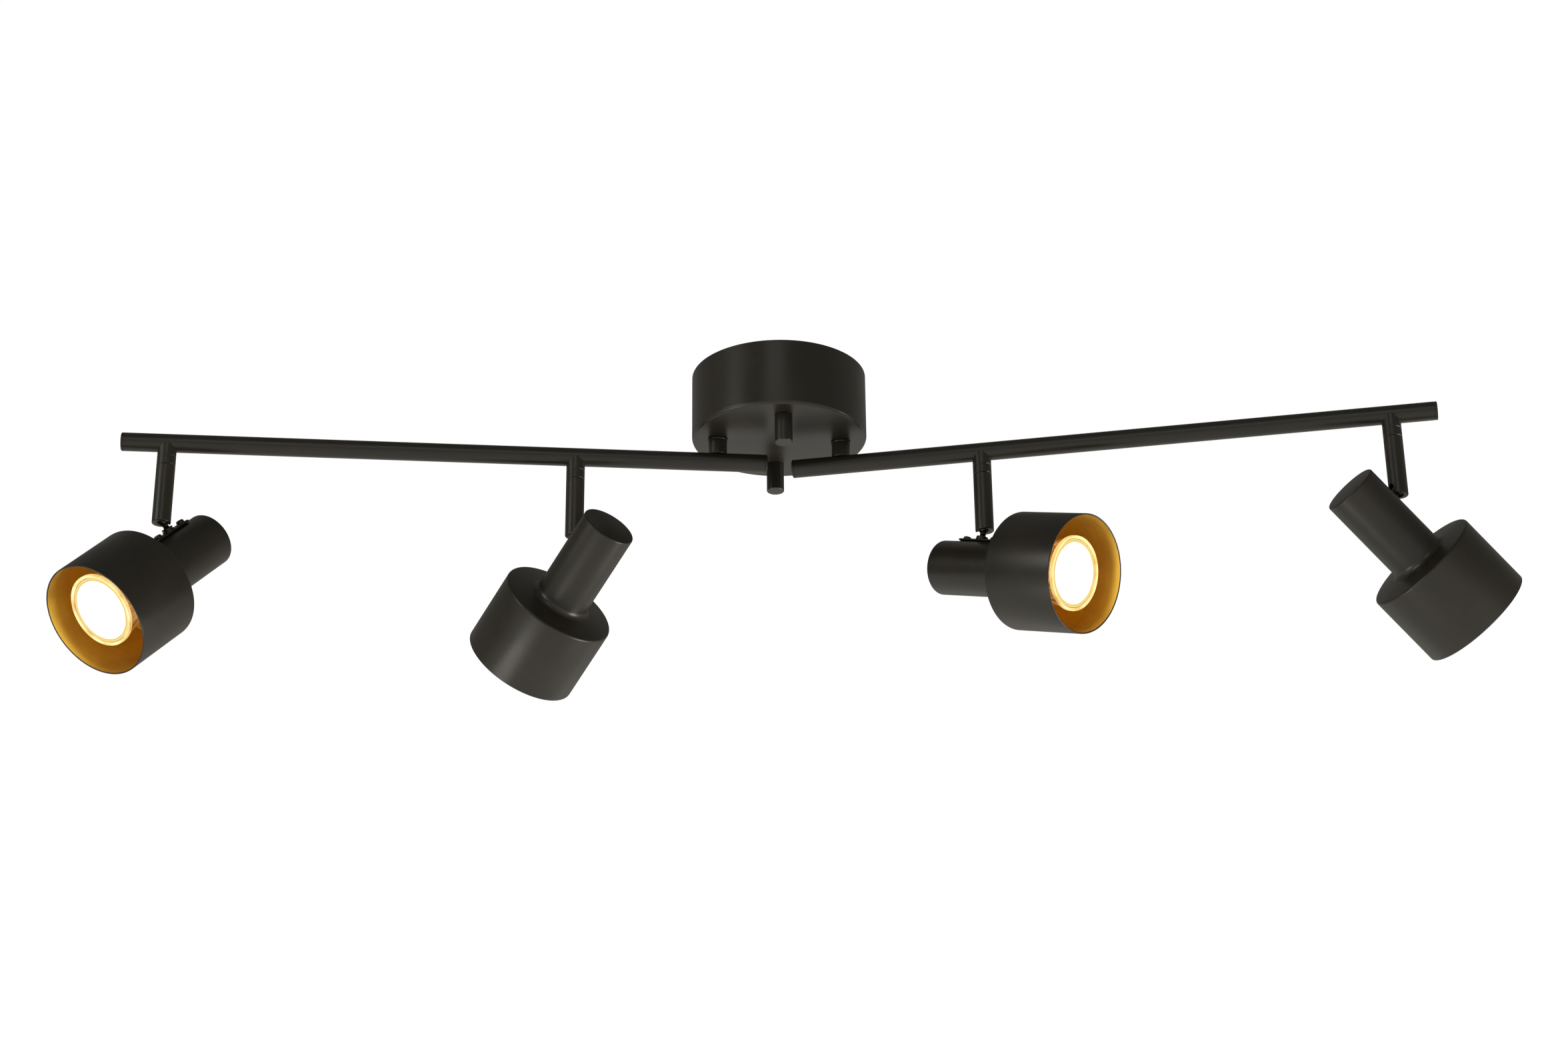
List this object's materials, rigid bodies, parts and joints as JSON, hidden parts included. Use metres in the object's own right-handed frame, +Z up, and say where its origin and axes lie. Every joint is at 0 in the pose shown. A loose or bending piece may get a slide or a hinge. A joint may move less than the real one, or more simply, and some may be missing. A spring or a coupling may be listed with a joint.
{
  "type": "track lighting fixture",
  "caption": "Ceiling spotlight bar: round canopy, two swivelling bars and cylindrical spot heads that turn on stems and tilt on ball knuckles.",
  "frame": {"origin": "centre of the canopy's top, in the ceiling plane, midway between the two ceiling slots", "axes": "+X along the bars to the right, +Y from the front of the fixture to its back, +Z up into the ceiling"},
  "size_m": [0.9675, 0.2065, 0.2366],
  "materials": {
    "black_paint": "satin powder coat",
    "shade_paint": "satin powder coat outside, gold lacquer inside the shade",
    "zinc_steel": "zinc plated",
    "brass": "turned",
    "block_plastic": "matte",
    "lead_plastic": "matte",
    "ceramic": "unglazed ceramic",
    "reflector": "bright reflector",
    "lamp_glass": "clear front glass"
  },
  "bodies": {
    "canopy": {"canopy_shell": "black_paint", "mounting_bracket": "zinc_steel", "bracket_fasteners": "zinc_steel", "cap_nuts": "black_paint", "post_rings": "black_paint", "terminal_block": "block_plastic", "terminal_screws": "brass", "canopy_leads": "lead_plastic"},
    "bar_left": {"left_bar": "black_paint", "left_bar_collars": "black_paint", "left_swivel_nipple": "brass", "left_flange_nut": "brass", "left_end_caps": "black_paint", "left_stem_spindles": "black_paint"},
    "bar_right": {"right_bar": "black_paint", "right_bar_collars": "black_paint", "right_swivel_nipple": "brass", "right_flange_nut": "brass", "right_end_caps": "black_paint", "right_stem_spindles": "black_paint"},
    "stem_1": {"stem_tube_1": "black_paint"},
    "head_1": {"knuckle_1": "zinc_steel", "knuckle_nuts_1": "black_paint", "knuckle_plate_1": "black_paint", "plate_screws_1": "black_paint", "head_shell_1": "shade_paint", "holder_bracket_1": "zinc_steel", "lampholder_1": "ceramic", "lamp_body_1": "reflector", "lamp_glass_1": "lamp_glass"},
    "stem_2": {"stem_tube_2": "black_paint"},
    "head_2": {"knuckle_2": "zinc_steel", "knuckle_nuts_2": "black_paint", "knuckle_plate_2": "black_paint", "plate_screws_2": "black_paint", "head_shell_2": "shade_paint", "holder_bracket_2": "zinc_steel", "lampholder_2": "ceramic", "lamp_body_2": "reflector", "lamp_glass_2": "lamp_glass"},
    "stem_3": {"stem_tube_3": "black_paint"},
    "head_3": {"knuckle_3": "zinc_steel", "knuckle_nuts_3": "black_paint", "knuckle_plate_3": "black_paint", "plate_screws_3": "black_paint", "head_shell_3": "shade_paint", "holder_bracket_3": "zinc_steel", "lampholder_3": "ceramic", "lamp_body_3": "reflector", "lamp_glass_3": "lamp_glass"},
    "stem_4": {"stem_tube_4": "black_paint"},
    "head_4": {"knuckle_4": "zinc_steel", "knuckle_nuts_4": "black_paint", "knuckle_plate_4": "black_paint", "plate_screws_4": "black_paint", "head_shell_4": "shade_paint", "holder_bracket_4": "zinc_steel", "lampholder_4": "ceramic", "lamp_body_4": "reflector", "lamp_glass_4": "lamp_glass"}
  },
  "joints": [
    {"name": "bar_left_swivel", "type": "hinge", "parent": "canopy", "child": "bar_left", "pos_m": [-0.0429, 0, -0.06517], "axis": [0, 0, 1], "range_deg": [-46.8, 43.2]},
    {"name": "bar_right_swivel", "type": "hinge", "parent": "canopy", "child": "bar_right", "pos_m": [0.0429, 0, -0.06517], "axis": [0, 0, 1], "range_deg": [-29.8, 60.2]},
    {"name": "head_1_pan", "type": "hinge", "parent": "bar_left", "child": "stem_1", "pos_m": [-0.41821, -0.01179, -0.12164], "axis": [0, 0, 1], "range_deg": [-175, 175]},
    {"name": "head_1_tilt", "type": "hinge", "parent": "stem_1", "child": "head_1", "pos_m": [-0.41821, -0.01179, -0.12164], "axis": [0.7022, -0.712, 0], "range_deg": [-44.5, 45.5]},
    {"name": "head_2_pan", "type": "hinge", "parent": "bar_left", "child": "stem_2", "pos_m": [-0.14115, -0.00309, -0.12164], "axis": [0, 0, 1], "range_deg": [-175, 175]},
    {"name": "head_2_tilt", "type": "hinge", "parent": "stem_2", "child": "head_2", "pos_m": [-0.14115, -0.00309, -0.12164], "axis": [-0.81, -0.5864, 0], "range_deg": [-34.6, 55.4]},
    {"name": "head_3_pan", "type": "hinge", "parent": "bar_right", "child": "stem_3", "pos_m": [0.13776, -0.02577, -0.12164], "axis": [0, 0, 1], "range_deg": [-175, 175]},
    {"name": "head_3_tilt", "type": "hinge", "parent": "stem_3", "child": "head_3", "pos_m": [0.13776, -0.02577, -0.12164], "axis": [0.7034, 0.7108, 0], "range_deg": [-17.6, 72.4]},
    {"name": "head_4_pan", "type": "hinge", "parent": "bar_right", "child": "stem_4", "pos_m": [0.40526, -0.09845, -0.12164], "axis": [0, 0, 1], "range_deg": [-175, 175]},
    {"name": "head_4_tilt", "type": "hinge", "parent": "stem_4", "child": "head_4", "pos_m": [0.40526, -0.09845, -0.12164], "axis": [-0.373, 0.9278, 0], "range_deg": [-38.9, 51.1]}
  ]
}
